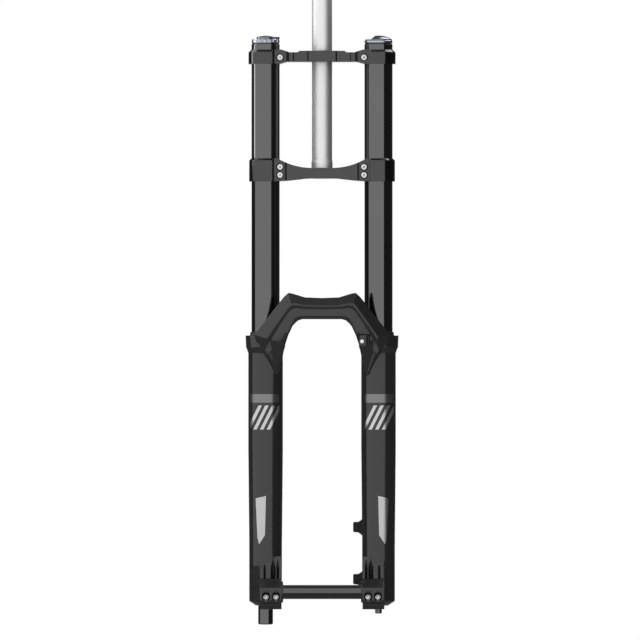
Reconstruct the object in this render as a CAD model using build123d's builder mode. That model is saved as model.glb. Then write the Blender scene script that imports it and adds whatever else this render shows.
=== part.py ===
"""Double-crown suspension fork for a mountain bike, as the separate pieces of the real one.

Millimetres. +Z points up the steerer, the fork's front faces -Y, and the brake side is +X.
The origin is on the steerer's axis, at the lower crown's face where the headset race sits.
The legs are drawn fully extended, which is joint value 0.
"""

import os
from math import cos, radians, sin

from build123d import *

# Driving dimensions
AXLE_TO_CROWN = 600.0
TRAVEL = 203.0
LEG_X = 80.0  # half the distance between the two stanchions
STANCHION_Y = -15.0  # the crowns carry the stanchions this far in front of the steerer
AXLE_Y = -52.0
AXLE_Z = -AXLE_TO_CROWN
STANCHION_R = 20.0
STANCHION_BORE_R = 18.0
STANCHION_TOP = 176.0
STANCHION_BOTTOM = -400.0
STEERER_R = 14.3  # 1 1/8 inch
STEERER_BORE_R = 12.0
STEERER_TOP = 265.0
RACE_R = 15.0
RACE_HEIGHT = 8.0
AXLE_R = 10.0
HUB_WIDTH = 110.0
BRAKE_POST_SPACING = 74.0
SHAFT_R = 5.0

# Clearances
RUNNING = 0.03
SNUG = 0.02
LOOSE = 0.1

# Heights on the lower legs
LEG_TOP = -238.6
COLLAR_FOOT = -254.0
LEG_START = -262.5
TAPER_START = -400.0
TAPER_END = -535.0
LEG_FLOOR = -608.0
LEG_FOOT = -620.0

# Radii on the lower legs
COLLAR_R = 28.6
COLLAR_FOOT_R = 27.8
LEG_R = 24.6
LEG_LOWER_R = 23.3
LEG_FOOT_R = 14.5
WIPER_SEAT_R = 24.0
FOAM_SEAT_R = 23.0
BUSH_SEAT_R = 21.4
LEG_BORE_R = 20.6

# Socket screws, M5, used for every clamp on the fork
SCREW_R = 2.5
SCREW_HEAD_R = 4.0
SCREW_HEAD_HEIGHT = 5.0
SCREW_HEX = 4.0
SCREW_RECESS_R = 5.6

SIDES = (-1, 1)
DAMPER_X = -LEG_X
AIR_X = LEG_X

os.makedirs("parts", exist_ok=True)


def keep(piece, name):
    """Labels a finished piece and writes it to parts/."""
    piece.label = name
    export_step(piece, f"parts/{name}.step")


def turned(profile, x, y=STANCHION_Y):
    """A piece turned about the upright axis at (x, y), from a closed (radius, height) outline."""
    with BuildPart() as piece:
        with BuildSketch(Plane(origin=(x, y, 0), x_dir=(1, 0, 0), z_dir=(0, -1, 0))):
            with BuildLine():
                Polyline(*profile, close=True)
            make_face()
        revolve(axis=Axis((x, y, 0), (0, 0, 1)))
    return piece.part


def socket_screw(seat, shank_length):
    """A socket screw whose head rests on the plane seat, with the head on its +Z side."""
    with BuildPart(seat) as screw:
        Cylinder(SCREW_HEAD_R, SCREW_HEAD_HEIGHT, align=(Align.CENTER, Align.CENTER, Align.MIN))
        chamfer(screw.faces().sort_by(Axis(seat.origin, seat.z_dir))[-1].edges(), 0.4)
        Cylinder(SCREW_R, shank_length, align=(Align.CENTER, Align.CENTER, Align.MAX))
        with BuildSketch(Plane(seat.origin + seat.z_dir * SCREW_HEAD_HEIGHT, seat.x_dir, seat.z_dir)):
            RegularPolygon(SCREW_HEX / 2, 6, major_radius=False)
        extrude(amount=-2.6, mode=Mode.SUBTRACT)
        with Locations((0, 0, SCREW_HEAD_HEIGHT - 2.6)):
            Cone(0.2, SCREW_HEX / 2, 1.2, align=(Align.CENTER, Align.CENTER, Align.MAX), mode=Mode.SUBTRACT)
    return screw.part


def screw_space(seat, shank_length, recess=20.0):
    """The recess and the hole that a socket screw needs, to be cut out of what it holds."""
    with BuildPart(seat) as space:
        Cylinder(SCREW_RECESS_R, recess, align=(Align.CENTER, Align.CENTER, Align.MIN))
        Cylinder(SCREW_R + LOOSE, shank_length + 1, align=(Align.CENTER, Align.CENTER, Align.MAX))
    return space.part


def group(pieces):
    """Several like pieces in one node, as separate solids."""
    with BuildPart() as together:
        for piece in pieces:
            add(piece)
    return together.part


# Steerer: a straight aluminium tube with the seat for the headset's crown race.
# Two shallow scored rings show where the upper crown sits.
UPPER_CROWN_BOTTOM = 150.2
UPPER_CROWN_TOP = 165.8
LOWER_CROWN_BOTTOM = -15.0
STEERER_ROOT_R = 15.5
SCORE_WIDTH = 1.0
SCORE_R = STEERER_R - 0.2
steerer_outline = [
    (STEERER_BORE_R, LOWER_CROWN_BOTTOM),
    (STEERER_ROOT_R, LOWER_CROWN_BOTTOM),
    (STEERER_ROOT_R, 0),
    (RACE_R, 0),
    (RACE_R, RACE_HEIGHT),
    (STEERER_R, RACE_HEIGHT + 4),
]
for score in (UPPER_CROWN_BOTTOM - SCORE_WIDTH, UPPER_CROWN_TOP):
    steerer_outline += [
        (STEERER_R, score),
        (SCORE_R, score),
        (SCORE_R, score + SCORE_WIDTH),
        (STEERER_R, score + SCORE_WIDTH),
    ]
steerer_outline += [
    (STEERER_R, STEERER_TOP - 1),
    (STEERER_R - 1, STEERER_TOP),
    (STEERER_BORE_R, STEERER_TOP),
]
keep(turned(steerer_outline, 0, 0), "steerer")


# Crown clamp screws: each enters from the front and leans in towards the steerer, past the stanchion.
CLAMP_SCREW_X = 58.3
CLAMP_SCREW_LEAN = 15.0
CLAMP_SCREW_SHANK = 22.0
UPPER_CLAMP_SCREW_Z = (156.0,)
LOWER_CLAMP_SCREW_Z = (1.0, -10.5)
CLAMP_SEAT_Y = -32.0
FLAP_FRONT_Y = -35.5
WEB_FRONT_Y = -24.0
SLIT = 2.0


def clamp_seat(side, z):
    """The plane under the head of one crown clamp screw, facing out of the crown."""
    lean = radians(CLAMP_SCREW_LEAN)
    out = Vector(side * sin(lean), -cos(lean), 0)
    return Plane(origin=(side * CLAMP_SCREW_X, CLAMP_SEAT_Y, z), x_dir=(0, 0, 1), z_dir=out)


def clamp_bevels(top, outer_r):
    """What is turned away from the upper outer edge of both clamps, on the side away from the steerer."""
    with BuildPart() as bevels:
        with BuildSketch(Plane(origin=(LEG_X, STANCHION_Y, 0), x_dir=(1, 0, 0), z_dir=(0, -1, 0))):
            with BuildLine():
                Polyline(
                    (STANCHION_R + 0.8, top),
                    (outer_r + 1, top - (outer_r - STANCHION_R) - 0.2),
                    (outer_r + 1, top + 1),
                    (STANCHION_R + 0.8, top + 1),
                    close=True,
                )
            make_face()
        revolve(axis=Axis((LEG_X, STANCHION_Y, 0), (0, 0, 1)))
        with Locations((LEG_X + 20, STANCHION_Y, top)):
            Box(60, 80, 20, mode=Mode.INTERSECT)
        mirror(about=Plane.YZ)
    return bevels.part


# Lower crown: one forged piece. The steerer is pressed into its middle, and a flap in front of
# each stanchion is drawn in by two screws.
LOWER_CLAMP_R = 23.4
LOWER_BOSS_R = 22.0
with BuildPart() as lower_crown:
    with BuildSketch(Plane.XY.offset(-22)) as plan:
        Circle(LOWER_BOSS_R)
        with Locations((-LEG_X, STANCHION_Y), (LEG_X, STANCHION_Y)):
            Circle(LOWER_CLAMP_R)
        with BuildLine():
            half_web = Polyline(
                (0, WEB_FRONT_Y),
                (62, WEB_FRONT_Y),
                (70, -10),
                (66, 3.6),
                (44, 7.5),
                (13, 17.7),
                (0, 17.7),
            )
            mirror(half_web, about=Plane.YZ)
        make_face()
        for side in SIDES:
            with BuildLine():
                Polyline(
                    (side * 67.3, FLAP_FRONT_Y),
                    (side * 52.6, FLAP_FRONT_Y),
                    (side * 49.6, WEB_FRONT_Y - 1),
                    (side * 49.6, WEB_FRONT_Y),
                    (side * 66, WEB_FRONT_Y),
                    (side * 72, -30),
                    close=True,
                )
            make_face()
    extrude(amount=40)
    with BuildSketch(Plane.XZ):
        with BuildLine():
            upper_edge = Spline((0, 0), (22, 0.2), (46, 5.4), (59, 11), tangents=((1, 0), (1, 0.5)))
            shoulder = Polyline((59, 11), (62, 13.2), (110, 13.2), (110, -19.4), (66, -19.4))
            lower_edge = Spline(
                (66, -19.4),
                (46, -17.9),
                (24, -15.4),
                (0, -15),
                tangents=((-1, 0.05), (-1, 0)),
            )
            mirror(upper_edge, about=Plane.YZ)
            mirror(shoulder, about=Plane.YZ)
            mirror(lower_edge, about=Plane.YZ)
        make_face()
    extrude(amount=80, both=True, mode=Mode.INTERSECT)
    with BuildSketch(Plane.XY.offset(-22)):
        for side in SIDES:
            with BuildLine():
                FilletPolyline(
                    (side * 26, -17),
                    (side * 46, -17),
                    (side * 50, -8),
                    (side * 46, 1),
                    (side * 26, 6),
                    radius=3,
                    close=True,
                )
            make_face()
    extrude(amount=13, mode=Mode.SUBTRACT)
    with Locations((-LEG_X, STANCHION_Y, 0), (LEG_X, STANCHION_Y, 0)):
        Cylinder(STANCHION_R + SNUG, 60, mode=Mode.SUBTRACT)
    Cylinder(STEERER_ROOT_R + SNUG / 2, 60, mode=Mode.SUBTRACT)
    with Locations(*[(side * 56, WEB_FRONT_Y - SLIT / 2, 0) for side in SIDES]):
        Box(16, SLIT, 60, mode=Mode.SUBTRACT)
    add(clamp_bevels(13.2, LOWER_CLAMP_R), mode=Mode.SUBTRACT)
    for side in SIDES:
        for z in LOWER_CLAMP_SCREW_Z:
            add(screw_space(clamp_seat(side, z), CLAMP_SCREW_SHANK), mode=Mode.SUBTRACT)
keep(lower_crown.part, "lower_crown")


# Upper crown: clamps both stanchions from the front and the steerer from the back.
UPPER_CLAMP_R = 24.3
UPPER_BOSS_R = 21.0
EAR_X = 8.5
EAR_BACK_Y = 30.0
STEERER_SCREW_Y = 21.5
STEERER_SCREW_Z = 158.0
STEERER_SCREW_SHANK = 17.0
steerer_screw_seat = Plane(
    origin=(EAR_X - 3, STEERER_SCREW_Y, STEERER_SCREW_Z),
    x_dir=(0, 0, 1),
    z_dir=(1, 0, 0),
)
with BuildPart() as upper_crown:
    with BuildSketch(Plane.XY.offset(145)) as plan:
        Circle(UPPER_BOSS_R)
        with Locations((-LEG_X, STANCHION_Y), (LEG_X, STANCHION_Y)):
            Circle(UPPER_CLAMP_R)
        with BuildLine():
            half_arm = Polyline(
                (0, -26.5),
                (19.2, -26.5),
                (21.0, -23),
                (39.6, -23),
                (41.0, -25),
                (62, WEB_FRONT_Y),
                (70, -10),
                (64, 3),
                (40, 2),
                (20, 7),
                (0, 7),
            )
            mirror(half_arm, about=Plane.YZ)
        make_face()
        for side in SIDES:
            with BuildLine():
                Polyline(
                    (side * 67.3, FLAP_FRONT_Y),
                    (side * 50.5, FLAP_FRONT_Y),
                    (side * 46.8, WEB_FRONT_Y - 1),
                    (side * 46.8, WEB_FRONT_Y),
                    (side * 66, WEB_FRONT_Y),
                    (side * 72, -30),
                    close=True,
                )
            make_face()
        with Locations((0, (EAR_BACK_Y + 12) / 2)):
            RectangleRounded(2 * EAR_X + 4, EAR_BACK_Y - 12, 3)
    extrude(amount=25)
    with BuildSketch(Plane.XZ):
        with BuildLine():
            half_front = Polyline(
                (0, UPPER_CROWN_TOP),
                (32, UPPER_CROWN_TOP),
                (34.5, 163.8),
                (46, 163.6),
                (58, 167.2),
                (110, 167.2),
                (110, 147),
                (60, 147),
                (49, UPPER_CROWN_BOTTOM),
                (0, UPPER_CROWN_BOTTOM),
            )
            mirror(half_front, about=Plane.YZ)
        make_face()
    extrude(amount=80, both=True, mode=Mode.INTERSECT)
    with Locations((-LEG_X, STANCHION_Y, 157), (LEG_X, STANCHION_Y, 157)):
        Cylinder(STANCHION_R + SNUG, 40, mode=Mode.SUBTRACT)
    with Locations((0, 0, 157)):
        Cylinder(STEERER_R + SNUG, 40, mode=Mode.SUBTRACT)
    with Locations(*[(side * 56, WEB_FRONT_Y - SLIT / 2, 157) for side in SIDES]):
        Box(16, SLIT, 40, mode=Mode.SUBTRACT)
    with Locations((0, EAR_BACK_Y - 4, 157)):
        Box(SLIT, 32, 40, mode=Mode.SUBTRACT)
    add(clamp_bevels(167.2, UPPER_CLAMP_R), mode=Mode.SUBTRACT)
    for side in SIDES:
        for z in UPPER_CLAMP_SCREW_Z:
            add(screw_space(clamp_seat(side, z), CLAMP_SCREW_SHANK), mode=Mode.SUBTRACT)
    add(screw_space(steerer_screw_seat, STEERER_SCREW_SHANK), mode=Mode.SUBTRACT)
keep(upper_crown.part, "upper_crown")

keep(
    group([socket_screw(clamp_seat(s, z), CLAMP_SCREW_SHANK) for s in SIDES for z in LOWER_CLAMP_SCREW_Z]),
    "lower_crown_screws",
)
keep(
    group([socket_screw(clamp_seat(s, z), CLAMP_SCREW_SHANK) for s in SIDES for z in UPPER_CLAMP_SCREW_Z]),
    "upper_crown_screws",
)
keep(socket_screw(steerer_screw_seat, STEERER_SCREW_SHANK), "steerer_clamp_screw")


# Stanchions: the air side has a groove near its lower end for the seal head's retaining ring.
RING_GROOVE_R = 19.0
RING_BOTTOM = -387.2
RING_TOP = -385.2
plain_tube = [
    (STANCHION_BORE_R, STANCHION_BOTTOM),
    (STANCHION_R - 1, STANCHION_BOTTOM),
    (STANCHION_R, STANCHION_BOTTOM + 2),
    (STANCHION_R, STANCHION_TOP - 1),
    (STANCHION_R - 1, STANCHION_TOP),
    (STANCHION_BORE_R, STANCHION_TOP),
]
ring_groove = [
    (STANCHION_BORE_R, RING_TOP + LOOSE),
    (RING_GROOVE_R, RING_TOP + LOOSE),
    (RING_GROOVE_R, RING_BOTTOM - LOOSE),
    (STANCHION_BORE_R, RING_BOTTOM - LOOSE),
]
keep(turned(plain_tube, DAMPER_X), "stanchion_damper_side")
keep(turned(plain_tube + ring_groove, AIR_X), "stanchion_air_side")


# Damper: a closed cartridge that hangs from its top cap inside the damper-side stanchion.
CARTRIDGE_R = 15.5
CARTRIDGE_BORE_R = 13.75
CARTRIDGE_TOP = 160.0
CARTRIDGE_BOTTOM = -373.0
SPIGOT_R = CARTRIDGE_BORE_R - 0.05
CAP_BODY_R = STANCHION_BORE_R - 0.05
NEEDLE_R = 2.0
STEM_R = 4.0
CAP_TOP = 182.4
CAP_NOTCHES = 16
cartridge_outline = [
    (CARTRIDGE_BORE_R, CARTRIDGE_BOTTOM),
    (CARTRIDGE_R, CARTRIDGE_BOTTOM),
    (CARTRIDGE_R, CARTRIDGE_TOP),
    (CARTRIDGE_BORE_R, CARTRIDGE_TOP),
]
keep(turned(cartridge_outline, DAMPER_X), "damper_cartridge_tube")

with BuildPart() as damper_top_cap:
    with BuildSketch(Plane(origin=(DAMPER_X, STANCHION_Y, 0), x_dir=(1, 0, 0), z_dir=(0, -1, 0))):
        with BuildLine():
            Polyline(
                (0, STANCHION_TOP),
                (19.0, STANCHION_TOP),
                (19.9, 177.2),
                (19.9, 181.4),
                (18.9, CAP_TOP),
                (0, CAP_TOP),
                close=True,
            )
        make_face()
    revolve(axis=Axis((DAMPER_X, STANCHION_Y, 0), (0, 0, 1)))
    with Locations((DAMPER_X, STANCHION_Y, 180.4)):
        with PolarLocations(20.6, CAP_NOTCHES, start_angle=9):
            Cylinder(2.0, 5.2, mode=Mode.SUBTRACT)
    with Locations((DAMPER_X, STANCHION_Y, CARTRIDGE_TOP)):
        Cylinder(CAP_BODY_R, STANCHION_TOP - CARTRIDGE_TOP, align=(Align.CENTER, Align.CENTER, Align.MIN))
        Cylinder(SPIGOT_R, 10, align=(Align.CENTER, Align.CENTER, Align.MAX))
        Cylinder(NEEDLE_R + LOOSE, 60, mode=Mode.SUBTRACT)
keep(damper_top_cap.part, "damper_top_cap")

SEAL_HEAD_TOP = -363.0
SEAL_HEAD_BOTTOM = -385.0
damper_seal_head_outline = [
    (SHAFT_R + RUNNING, SEAL_HEAD_BOTTOM),
    (STANCHION_BORE_R - 0.1, SEAL_HEAD_BOTTOM),
    (STANCHION_BORE_R - 0.1, CARTRIDGE_BOTTOM),
    (SPIGOT_R, CARTRIDGE_BOTTOM),
    (SPIGOT_R, SEAL_HEAD_TOP),
    (SHAFT_R + RUNNING, SEAL_HEAD_TOP),
]
keep(turned(damper_seal_head_outline, DAMPER_X), "damper_seal_head")

BASE_VALVE_Z = -118.0
SPRING_SEAT_Z = 60.0
base_valve_outline = [
    (NEEDLE_R + LOOSE, BASE_VALVE_Z),
    (SPIGOT_R, BASE_VALVE_Z),
    (SPIGOT_R, BASE_VALVE_Z + 9),
    (9, BASE_VALVE_Z + 12),
    (STEM_R, BASE_VALVE_Z + 12),
    (STEM_R, SPRING_SEAT_Z),
    (10.5, SPRING_SEAT_Z),
    (10.5, SPRING_SEAT_Z + 3),
    (STEM_R, SPRING_SEAT_Z + 3),
    (STEM_R, CARTRIDGE_TOP - 10),
    (NEEDLE_R + LOOSE, CARTRIDGE_TOP - 10),
]
keep(turned(base_valve_outline, DAMPER_X), "compression_valve")

FLOATING_PISTON_BOTTOM = -60.0
FLOATING_PISTON_TOP = -48.0
floating_piston_outline = [
    (STEM_R + 0.05, FLOATING_PISTON_BOTTOM),
    (SPIGOT_R, FLOATING_PISTON_BOTTOM),
    (SPIGOT_R, FLOATING_PISTON_TOP),
    (STEM_R + 0.05, FLOATING_PISTON_TOP),
]
keep(turned(floating_piston_outline, DAMPER_X), "floating_piston")

SPRING_WIRE_R = 0.8
SPRING_R = 8.5
SPRING_TURNS = 11
spring_rise = SPRING_SEAT_Z - FLOATING_PISTON_TOP - 2 * SPRING_WIRE_R
with BuildPart() as floating_piston_spring:
    with BuildLine():
        coil = Helix(
            spring_rise / SPRING_TURNS,
            spring_rise,
            SPRING_R,
            center=(DAMPER_X, STANCHION_Y, FLOATING_PISTON_TOP + SPRING_WIRE_R),
        )
    with BuildSketch(Plane(coil @ 0, z_dir=coil % 0)):
        Circle(SPRING_WIRE_R)
    sweep(path=coil, is_frenet=True)
keep(floating_piston_spring.part, "floating_piston_spring")

# Compression lever: a round dial with a finger tab that points at the other leg.
DIAL_R = 12.7
DIAL_BOTTOM = CAP_TOP + 0.2
DIAL_TOP = 187.4
TAB_REACH = 19.8
with BuildPart() as compression_lever:
    with BuildSketch(Plane(origin=(DAMPER_X, STANCHION_Y, 0), x_dir=(1, 0, 0), z_dir=(0, -1, 0))):
        with BuildLine():
            Polyline((0, DIAL_TOP), (0, DIAL_BOTTOM), (DIAL_R, DIAL_BOTTOM), (DIAL_R, 185.4))
            ThreePointArc((DIAL_R, 185.4), (7.2, 186.9), (0, DIAL_TOP))
        make_face()
    revolve(axis=Axis((DAMPER_X, STANCHION_Y, 0), (0, 0, 1)))
    with BuildSketch(Plane.XY.offset(DIAL_BOTTOM)):
        with BuildLine():
            Polyline(
                (DAMPER_X + 4, STANCHION_Y - 10.5),
                (DAMPER_X + TAB_REACH - 3, STANCHION_Y - 4.5),
                (DAMPER_X + TAB_REACH, STANCHION_Y - 2.5),
                (DAMPER_X + TAB_REACH, STANCHION_Y + 2.5),
                (DAMPER_X + TAB_REACH - 3, STANCHION_Y + 4.5),
                (DAMPER_X + 4, STANCHION_Y + 10.5),
                close=True,
            )
        make_face()
    extrude(amount=2.8)
    tip_edges = compression_lever.edges().filter_by(Axis.Z)
    fillet(tip_edges.filter_by_position(Axis.X, DAMPER_X + 13, DAMPER_X + 25), 0.9)
    with Locations((DAMPER_X, STANCHION_Y, DIAL_BOTTOM)):
        Cylinder(NEEDLE_R + 0.01, 6, mode=Mode.SUBTRACT)
keep(compression_lever.part, "compression_lever")
needle_outline = [
    (0, BASE_VALVE_Z + 4),
    (0.8, BASE_VALVE_Z + 4),
    (NEEDLE_R, BASE_VALVE_Z + 12),
    (NEEDLE_R, DIAL_BOTTOM + 3),
    (0, DIAL_BOTTOM + 3),
]
keep(turned(needle_outline, DAMPER_X), "compression_needle")

# Damper shaft with its piston, and the bumpers at both ends of the stroke.
FOOT_COLLAR_TOP = -600.0
FOOT_COLLAR_R = 9.0
STUD_R = 4.9
PISTON_BOTTOM = -359.0
REBOUND_ROD_R = 1.5
DAMPER_STUD_END = -628.0
damper_shaft_outline = [
    (REBOUND_ROD_R + LOOSE, DAMPER_STUD_END),
    (STUD_R, DAMPER_STUD_END),
    (STUD_R, LEG_FLOOR),
    (FOOT_COLLAR_R, LEG_FLOOR),
    (FOOT_COLLAR_R, FOOT_COLLAR_TOP),
    (SHAFT_R, FOOT_COLLAR_TOP),
    (SHAFT_R, PISTON_BOTTOM),
    (REBOUND_ROD_R + LOOSE, PISTON_BOTTOM),
]
keep(turned(damper_shaft_outline, DAMPER_X), "damper_shaft")
damper_piston_outline = [
    (REBOUND_ROD_R + LOOSE, PISTON_BOTTOM),
    (10, PISTON_BOTTOM),
    (SPIGOT_R, PISTON_BOTTOM + 1),
    (SPIGOT_R, PISTON_BOTTOM + 12),
    (10, PISTON_BOTTOM + 13),
    (10, PISTON_BOTTOM + 15),
    (5, PISTON_BOTTOM + 16),
    (5, PISTON_BOTTOM + 21),
    (REBOUND_ROD_R + LOOSE, PISTON_BOTTOM + 21),
]
keep(turned(damper_piston_outline, DAMPER_X), "damper_piston")


def bumper_outline(bottom, top):
    """A rubber bumper round a shaft, a little fuller at the middle of its height."""
    middle = (bottom + top) / 2
    return [(SHAFT_R + 0.05, bottom), (8.2, bottom), (8.9, middle), (8.2, top), (SHAFT_R + 0.05, top)]


keep(turned(bumper_outline(SEAL_HEAD_TOP, PISTON_BOTTOM - 0.4), DAMPER_X), "damper_top_out_bumper")
BUMPER_TOP = -592.0
keep(
    group([turned(bumper_outline(FOOT_COLLAR_TOP, BUMPER_TOP), x) for x in (DAMPER_X, AIR_X)]),
    "bottom_out_bumpers",
)

# Rebound adjuster: a rod down the damper shaft, turned by the knob under the leg.
KNOB_R = 10.5
KNOB_TOP = LEG_FOOT - 0.6
KNOB_BOTTOM = -647.0
KNOB_CAVITY_R = 9.2
KNOB_CAVITY_TOP = -634.0
rebound_rod_outline = [(0, -642), (REBOUND_ROD_R, -642), (REBOUND_ROD_R, -346), (0.4, -341), (0, -341)]
keep(turned(rebound_rod_outline, DAMPER_X), "rebound_rod")
knob_outline = [
    (REBOUND_ROD_R + SNUG, KNOB_CAVITY_TOP),
    (KNOB_CAVITY_R, KNOB_CAVITY_TOP),
    (KNOB_CAVITY_R, KNOB_TOP),
    (KNOB_R, KNOB_TOP),
    (KNOB_R, KNOB_BOTTOM + 1.2),
    (KNOB_R - 1.2, KNOB_BOTTOM),
    (0, KNOB_BOTTOM),
    (0, -642.2),
    (REBOUND_ROD_R + SNUG, -642.2),
]
keep(turned(knob_outline, DAMPER_X), "rebound_knob")


# Feet: a crush washer and a nut hold each shaft in the bottom of its leg.
WASHER = 1.2
NUT_HEIGHT = 6.0
NUT_FLATS = {DAMPER_X: 15.0, AIR_X: 13.0}


def foot_nut(x):
    """The hexagonal nut under one leg."""
    with BuildPart() as nut:
        with BuildSketch(Plane.XY.offset(LEG_FOOT - WASHER)):
            with Locations((x, STANCHION_Y)):
                RegularPolygon(NUT_FLATS[x] / 2, 6, major_radius=False, rotation=10)
                Circle(STUD_R + SNUG, mode=Mode.SUBTRACT)
        extrude(amount=-NUT_HEIGHT if x == DAMPER_X else -3.4)
    return nut.part


washer_outline = [(5.3, LEG_FOOT - WASHER), (8.6, LEG_FOOT - WASHER), (8.6, LEG_FOOT), (5.3, LEG_FOOT)]
keep(group([turned(washer_outline, x) for x in (DAMPER_X, AIR_X)]), "crush_washers")
keep(foot_nut(DAMPER_X), "damper_foot_nut")
keep(foot_nut(AIR_X), "air_foot_nut")


# Air spring: the stanchion is its cylinder. The piston rides on a shaft from the foot of the leg.
AIR_CAP_TOP = 180.6
AIR_CAP_BODY_BOTTOM = 158.0
VALVE_R = 3.9
with BuildPart() as air_top_cap:
    add(
        turned(
            [
                (VALVE_R + SNUG, AIR_CAP_BODY_BOTTOM),
                (CAP_BODY_R, AIR_CAP_BODY_BOTTOM),
                (CAP_BODY_R, STANCHION_TOP),
                (18.6, STANCHION_TOP),
                (19.9, STANCHION_TOP + 1.3),
                (19.9, AIR_CAP_TOP - 0.8),
                (19.1, AIR_CAP_TOP),
                (VALVE_R + SNUG, AIR_CAP_TOP),
            ],
            AIR_X,
        )
    )
keep(air_top_cap.part, "air_top_cap")

VALVE_TOP = 184.2
PIN_R = 0.7
valve_outline = [
    (PIN_R + LOOSE, 150),
    (3.0, 150),
    (VALVE_R, 156),
    (VALVE_R, VALVE_TOP - 0.6),
    (VALVE_R - 0.6, VALVE_TOP),
    (2.0, VALVE_TOP),
    (2.0, 178),
    (PIN_R + LOOSE, 178),
]
keep(turned(valve_outline, AIR_X), "air_valve")
keep(turned([(0, 165), (PIN_R, 165), (PIN_R, 183.7), (0, 183.7)], AIR_X), "valve_pin")
CAP_FOOT = AIR_CAP_TOP + 0.2
with BuildPart() as valve_cap:
    with BuildSketch(Plane(origin=(AIR_X, STANCHION_Y, 0), x_dir=(1, 0, 0), z_dir=(0, -1, 0))):
        with BuildLine():
            Polyline((0, 187.6), (0, 184.6), (4.3, 184.6), (4.3, CAP_FOOT), (19.2, CAP_FOOT), (19.2, 182.2))
            ThreePointArc((19.2, 182.2), (10.5, 186.4), (0, 187.6))
        make_face()
    revolve(axis=Axis((AIR_X, STANCHION_Y, 0), (0, 0, 1)))
    # A step on one side leaves a ridge to grip.
    with BuildSketch(Plane(origin=(AIR_X, STANCHION_Y, 0), x_dir=(1, 0, 0), z_dir=(0, -1, 0))):
        with BuildLine():
            Polyline(
                (-22, 190),
                (-22, 181.7),
                (-10.4, 182.0),
                (-9.6, 183.0),
                (-5.3, 186.4),
                (-3.6, 190),
                close=True,
            )
        make_face()
    extrude(amount=25, both=True, mode=Mode.SUBTRACT)
    with Locations((AIR_X, STANCHION_Y, CAP_FOOT)):
        Cylinder(VALVE_R + 0.4, 4, align=(Align.CENTER, Align.CENTER, Align.MIN), mode=Mode.SUBTRACT)
keep(valve_cap.part, "valve_cap")

SPACER_HEIGHT = 11.0
spacers = []
for count in range(3):
    top = AIR_CAP_BODY_BOTTOM - 0.1 - count * (SPACER_HEIGHT + 0.2)
    spacers.append(
        turned([(4.2, top - SPACER_HEIGHT), (14, top - SPACER_HEIGHT), (14, top), (4.2, top)], AIR_X)
    )
keep(group(spacers), "volume_spacers")

AIR_SEAL_HEAD_TOP = -368.0
AIR_SEAL_HEAD_BOTTOM = RING_TOP
air_seal_head_outline = [
    (SHAFT_R + RUNNING, AIR_SEAL_HEAD_BOTTOM),
    (STANCHION_BORE_R - 0.05, AIR_SEAL_HEAD_BOTTOM),
    (STANCHION_BORE_R - 0.05, AIR_SEAL_HEAD_TOP - 2),
    (STANCHION_BORE_R - 2, AIR_SEAL_HEAD_TOP),
    (SHAFT_R + RUNNING, AIR_SEAL_HEAD_TOP),
]
keep(turned(air_seal_head_outline, AIR_X), "air_seal_head")
with BuildPart() as retaining_ring:
    with BuildSketch(Plane.XY.offset(RING_BOTTOM)):
        with Locations((AIR_X, STANCHION_Y)):
            Circle(RING_GROOVE_R - 0.1)
            Circle(15.5, mode=Mode.SUBTRACT)
        with Locations((AIR_X, STANCHION_Y - 18)):
            Rectangle(8, 12, mode=Mode.SUBTRACT)
    extrude(amount=RING_TOP - RING_BOTTOM)
keep(retaining_ring.part, "seal_head_retaining_ring")

AIR_PISTON_BOTTOM = -354.0
AIR_PISTON_TOP = -340.0
AIR_PISTON_R = 17.9
PISTON_SEAL_R = 17.96
SEAL_LOW, SEAL_HIGH, SEAL_BED_R = -349.0, -345.0, 15.0
air_piston_outline = [
    (1.6, AIR_PISTON_BOTTOM),
    (AIR_PISTON_R, AIR_PISTON_BOTTOM),
    (AIR_PISTON_R, SEAL_LOW),
    (SEAL_BED_R, SEAL_LOW),
    (SEAL_BED_R, SEAL_HIGH),
    (AIR_PISTON_R, SEAL_HIGH),
    (AIR_PISTON_R, AIR_PISTON_TOP),
    (1.6, AIR_PISTON_TOP),
]
keep(turned(air_piston_outline, AIR_X), "air_piston")
piston_seal_outline = [
    (SEAL_BED_R, SEAL_LOW),
    (PISTON_SEAL_R, SEAL_LOW),
    (PISTON_SEAL_R, SEAL_HIGH),
    (SEAL_BED_R, SEAL_HIGH),
]
keep(turned(piston_seal_outline, AIR_X), "air_piston_seal")
AIR_STUD_END = -631.6
air_shaft_outline = [
    (1.6, AIR_STUD_END),
    (STUD_R - 0.9, AIR_STUD_END),
    (STUD_R - 0.2, AIR_STUD_END + 0.7),
    (STUD_R, LEG_FOOT - 5),
    (STUD_R, LEG_FLOOR),
    (FOOT_COLLAR_R, LEG_FLOOR),
    (FOOT_COLLAR_R, FOOT_COLLAR_TOP),
    (SHAFT_R, FOOT_COLLAR_TOP),
    (SHAFT_R, AIR_PISTON_BOTTOM),
    (1.6, AIR_PISTON_BOTTOM),
]
keep(turned(air_shaft_outline, AIR_X), "air_shaft")
keep(turned(bumper_outline(AIR_SEAL_HEAD_TOP + 0.4, AIR_PISTON_BOTTOM), AIR_X), "air_top_out_bumper")


# Seals and bushings at the top of each lower leg.
WIPER_TOP = -232.4
FOAM_TOP = -247.0
FOAM_BOTTOM = -257.0
wiper_outline = [
    (STANCHION_R + 0.05, FOAM_TOP),
    (WIPER_SEAT_R - SNUG, FOAM_TOP),
    (WIPER_SEAT_R - SNUG, LEG_TOP),
    (22.9, LEG_TOP + 0.4),
    (22.3, LEG_TOP + 1.6),
    (21.4, LEG_TOP + 3.6),
    (21.9, LEG_TOP + 4.2),
    (21.9, LEG_TOP + 5.2),
    (21.0, WIPER_TOP),
    (STANCHION_R + 0.05, WIPER_TOP),
]
keep(turned(wiper_outline, DAMPER_X), "dust_wiper_damper_side")
keep(turned(wiper_outline, AIR_X), "dust_wiper_air_side")


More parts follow.
